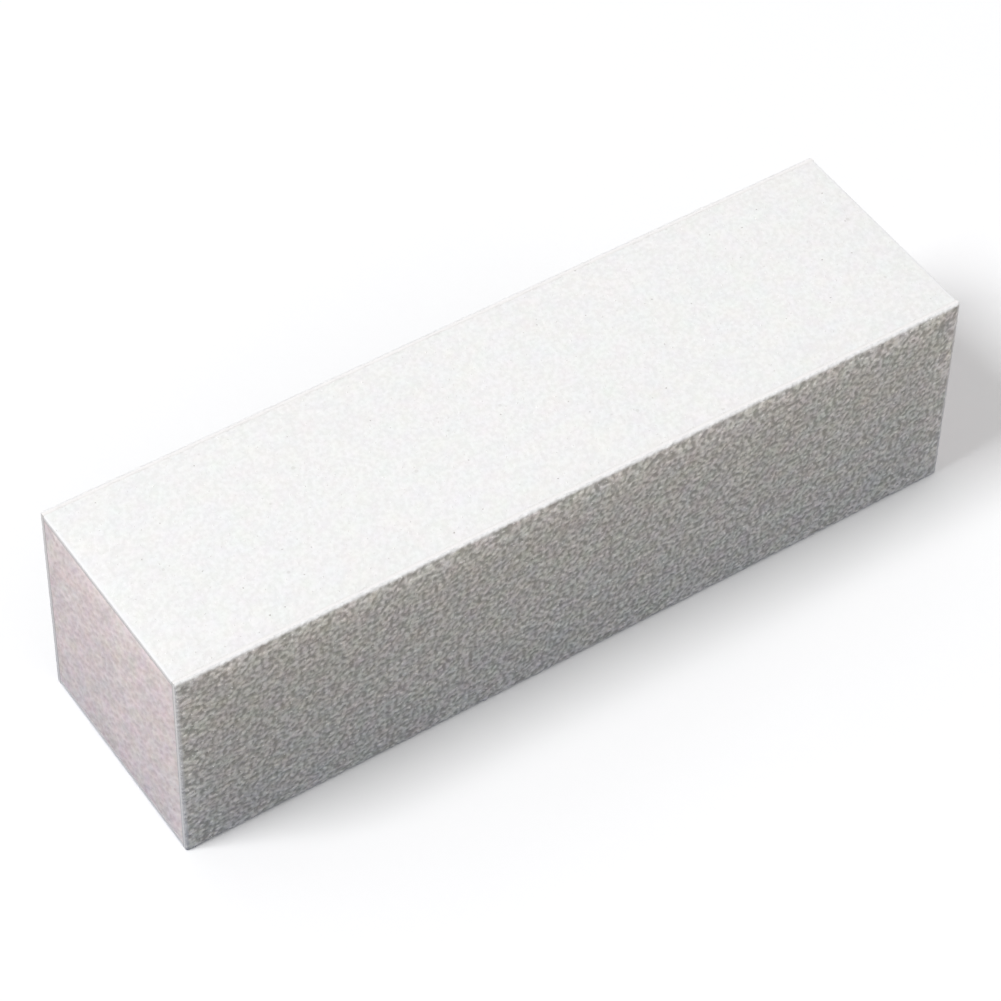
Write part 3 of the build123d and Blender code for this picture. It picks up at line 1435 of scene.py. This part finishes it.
@dataclass
class FoamCore:
    """The bar of foam, whose two cut ends show."""

    node: str = "foam_core"
    name: str = "foam_bar"
    pitch: float = 0.13 * MM
    cell_size: float = 0.55 * MM
    cell_depth: float = 0.03 * MM
    fine_size: float = 0.5 * MM
    fine_height: float = 0.06 * MM
    swell_size: float = 5.0 * MM
    swell_height: float = 0.08 * MM
    seed: int = 5
    crown: Crown = Crown(rise=0.27 * MM, reach=2.2 * MM)
    crushed_rim: float = 0.02 * MM
    rim_width: float = 0.5 * MM

    def build(self, shop: Workshop) -> bpy.types.Object:
        """Builds the core.

        Args:
            shop: the trees and finishes.

        Returns:
            The piece.
        """
        values = {
            "Cell Size": self.cell_size,
            "Cell Height": -self.cell_depth,
            "Fine Size": self.fine_size,
            "Fine Height": self.fine_height,
            "Swell Size": self.swell_size,
            "Swell Height": self.swell_height,
            "Turn": KNIFE_TURN,
            "Stretch": (1.0, 1.0 / KNIFE_DRAG, 1.0),
            "Seed": self.seed,
            "Material": shop.foam,
        }
        piece = grown(self.name, self.bar(), shop.relief, values)
        smooth_but_corners(piece.data)
        return settle(piece, "foam", self.node)

    def bar(self) -> bpy.types.Mesh:
        """Makes the closed bar with finely divided ends and long plain sides."""
        low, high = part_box(self.node)
        across, up = even(low.y, high.y, self.pitch), even(low.z, high.z, self.pitch)
        columns, rows = len(across), len(up)
        y, z = np.meshgrid(across, up, indexing="ij")
        # How far each point is from the nearest long side
        from_sides = np.minimum(y - low.y, high.y - y)
        from_faces = np.minimum(z - low.z, high.z - z)
        inset = np.minimum(from_sides, from_faces)
        rim = np.clip(1.0 - inset / self.rim_width, 0.0, 1.0) ** 2
        sunk = self.crushed_rim * rim - self.crown.height(from_sides, from_faces)
        share = np.clip(inset / self.rim_width, 0.15, 1.0)
        points, relief = [], []
        for end, x in ((-1, low.x), (1, high.x)):
            points.append(np.stack([x - end * sunk, y, z], -1).reshape(-1, 3))
            aim = np.zeros((columns * rows, 3))
            aim[:, 0] = end * share.ravel()
            relief.append(aim)
        grid = np.arange(columns * rows).reshape(columns, rows)
        cell = np.stack([grid[:-1, :-1], grid[1:, :-1], grid[1:, 1:], grid[:-1, 1:]], -1).reshape(-1, 4)
        far = columns * rows
        faces = [tuple(quad) for quad in (*cell[:, ::-1].tolist(), *(cell + far).tolist())]
        ring = [*grid[:, 0], *grid[-1, 1:], *grid[-2::-1, -1], *grid[0, -2:0:-1]]
        for here, there in zip(ring, ring[1:] + ring[:1]):
            faces.append((int(here), int(there), int(there) + far, int(here) + far))
        layout = self.unfolded(y, z, cell, len(ring))
        name = self.name + "_base"
        return build_mesh(name, np.concatenate(points), faces, np.concatenate(relief), layout)

    @staticmethod
    def unfolded(y: np.ndarray, z: np.ndarray, cell: np.ndarray, around: int) -> np.ndarray:
        """Lays the bar out flat: its two ends side by side, and its long sides above them.

        Args:
            y: each end point's place across the block.
            z: each end point's height.
            cell: the points at the corners of each face of an end.
            around: how many points go round an end.

        Returns:
            The flat place of every face corner in turn.
        """
        share = np.stack([(axis - axis.min()) / np.ptp(axis) for axis in (y, z)], -1)
        flat = within(share.reshape(-1, 2), 2 * MARGIN) / 2
        ends = [flat[cell[:, ::-1]], (flat + (0.5, 0.0))[cell]]
        mark = within(np.arange(around + 1) / around, MARGIN)
        low, high = np.full(around, 0.5 + 2 * MARGIN), np.full(around, 1.0 - 2 * MARGIN)
        corners = ((mark[:-1], low), (mark[1:], low), (mark[1:], high), (mark[:-1], high))
        sides = np.stack([np.stack(corner, -1) for corner in corners], 1)
        return np.concatenate([part.reshape(-1, 2) for part in (*ends, sides)])


# ----------------------------------------------------------------------------------------------
# The studio
# ----------------------------------------------------------------------------------------------


@dataclass
class Lamp:
    """A square soft box aimed at the block."""

    name: str
    place: tuple[float, float, float]
    size: float
    watts: float
    colour: Colour = (1.0, 1.0, 1.0)

    def light(self, aim: Vector) -> None:
        """Hangs the lamp.

        Args:
            aim: the point that it faces.
        """
        data = bpy.data.lights.new(self.name, "AREA")
        data.shape = "SQUARE"
        data.size = self.size
        data.energy = self.watts
        data.color = self.colour
        lamp = bpy.data.objects.new(self.name, data)
        bpy.context.scene.collection.objects.link(lamp)
        lamp.location = self.place
        lamp.rotation_euler = (aim - Vector(self.place)).to_track_quat("-Z", "Y").to_euler()


@dataclass
class Studio:
    """A pale floor, soft lights and the camera.

    The floor's colour near the block, and further off, is what it bounces onto the block.  The
    camera sees it in one pale tone.
    """

    azimuth: float = math.radians(-34.63)
    elevation: float = math.radians(48.33)
    roll: float = math.radians(1.46)
    distance: float = 0.38986
    slide_right: float = -0.92 * MM
    slide_up: float = -0.94 * MM
    lens: float = 141.81
    sensor: float = 36.0
    floor_half: float = 3.0
    floor_seen: Colour = (0.98, 0.98, 0.98)
    floor_near: Colour = (0.07, 0.09, 0.15)
    floor_far: Colour = (0.55, 0.46, 0.35)
    ambient: float = 0.475
    backdrop: float = 1.0
    bounce_reach: tuple[float, float] = (0.015, 0.12)
    glow_reach: tuple[float, float] = (0.15, 0.55)
    lamps: tuple[Lamp, ...] = (
        Lamp("key", (-0.75, 0.12, 1.05), 0.45, 11.3, (0.975, 0.980, 1.0)),
        Lamp("fill", (0.28, -0.22, 0.16), 0.25, 0.17),
        Lamp("side", (0.50, 0.17, 0.06), 0.12, 0.42),
    )

    def build(self, middle: Vector) -> None:
        """Sets up everything that isn't part of the block.

        Args:
            middle: the middle of the block.
        """
        self.lay_floor()
        self.light_room()
        for lamp in self.lamps:
            lamp.light(middle)
        self.place_camera(middle)

    def lay_floor(self) -> None:
        """Lays the pale floor."""
        half = self.floor_half
        mesh = bpy.data.meshes.new("floor")
        corners = [(-half, -half, 0.0), (half, -half, 0.0), (half, half, 0.0), (-half, half, 0.0)]
        mesh.from_pydata(corners, [], [(0, 1, 2, 3)])
        palette = Palette("pale_floor", roughness=0.9, specular=0.1)
        wiring = palette.wiring
        # The floor's bounce varies across the block more than along it
        away = wiring.vector("LENGTH", wiring.vector("MULTIPLY", palette.place, (0.25, 1.0, 1.0)))
        bounced = wiring.blend(wiring.ramp(away, *self.bounce_reach), self.floor_near, self.floor_far)
        seen = wiring.node("ShaderNodeLightPath").outputs["Is Camera Ray"]
        # The lamps fade with distance, so the floor makes up for it and runs into the backdrop
        reach = wiring.vector("LENGTH", palette.place)
        lift = wiring.ramp(reach, *self.glow_reach, 0.0, self.backdrop - self.ambient)
        glow = wiring.maths("MULTIPLY", lift, seen)
        palette.set(Base_Color=wiring.blend(seen, bounced, self.floor_seen))
        palette.set(Emission_Color=(1.0, 1.0, 1.0, 1.0), Emission_Strength=glow)
        mesh.materials.append(palette.material)
        floor = bpy.data.objects.new("floor", mesh)
        bpy.context.scene.collection.objects.link(floor)
        floor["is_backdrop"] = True

    def light_room(self) -> None:
        """Gives the room its even light, and keeps whites white."""
        world = bpy.data.worlds.new("studio")
        world.use_nodes = True
        wiring = Wiring(world.node_tree)
        seen = wiring.node("ShaderNodeLightPath").outputs["Is Camera Ray"]
        strength = wiring.line(seen, self.ambient, self.backdrop - self.ambient)
        background = world.node_tree.nodes["Background"].inputs
        wiring.feed(background["Color"], (1.0, 1.0, 1.0, 1.0))
        wiring.feed(background["Strength"], strength)
        bpy.context.scene.world = world
        bpy.context.scene.view_settings.view_transform = "Standard"

    def place_camera(self, middle: Vector) -> None:
        """Places the camera on the block's left front corner, looking down on it.

        Args:
            middle: the point that the camera circles.
        """
        right = Vector((math.cos(self.azimuth), math.sin(self.azimuth), 0.0))
        level = math.cos(self.elevation)
        behind = Vector((math.sin(self.azimuth), -math.cos(self.azimuth), 0.0))
        away = behind * level + Vector((0.0, 0.0, math.sin(self.elevation)))
        up = away.cross(right)
        turned_right = right * math.cos(self.roll) + up * math.sin(self.roll)
        turned_up = up * math.cos(self.roll) - right * math.sin(self.roll)
        data = bpy.data.cameras.new("camera")
        data.lens = self.lens
        data.sensor_width = self.sensor
        data.clip_start = 0.01
        camera = bpy.data.objects.new("camera", data)
        bpy.context.scene.collection.objects.link(camera)
        place = middle + away * self.distance + right * self.slide_right + up * self.slide_up
        turn = Matrix((turned_right, turned_up, away)).transposed().to_4x4()
        camera.matrix_world = Matrix.Translation(place) @ turn
        bpy.context.scene.camera = camera


def main() -> None:
    """Builds the block piece by piece round the frame, then the studio."""
    logging.basicConfig(level=logging.INFO, format="%(name)s %(message)s")
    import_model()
    cad_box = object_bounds()
    low, high = cad_box
    shop = Workshop.opened(low, high)
    FoamCore().build(shop)
    for number, side in enumerate(Side):
        AbrasiveStrip(side, seed=10 + number).build(shop)
    Studio().build((low + high) / 2)


if __name__ == "__main__":
    main()
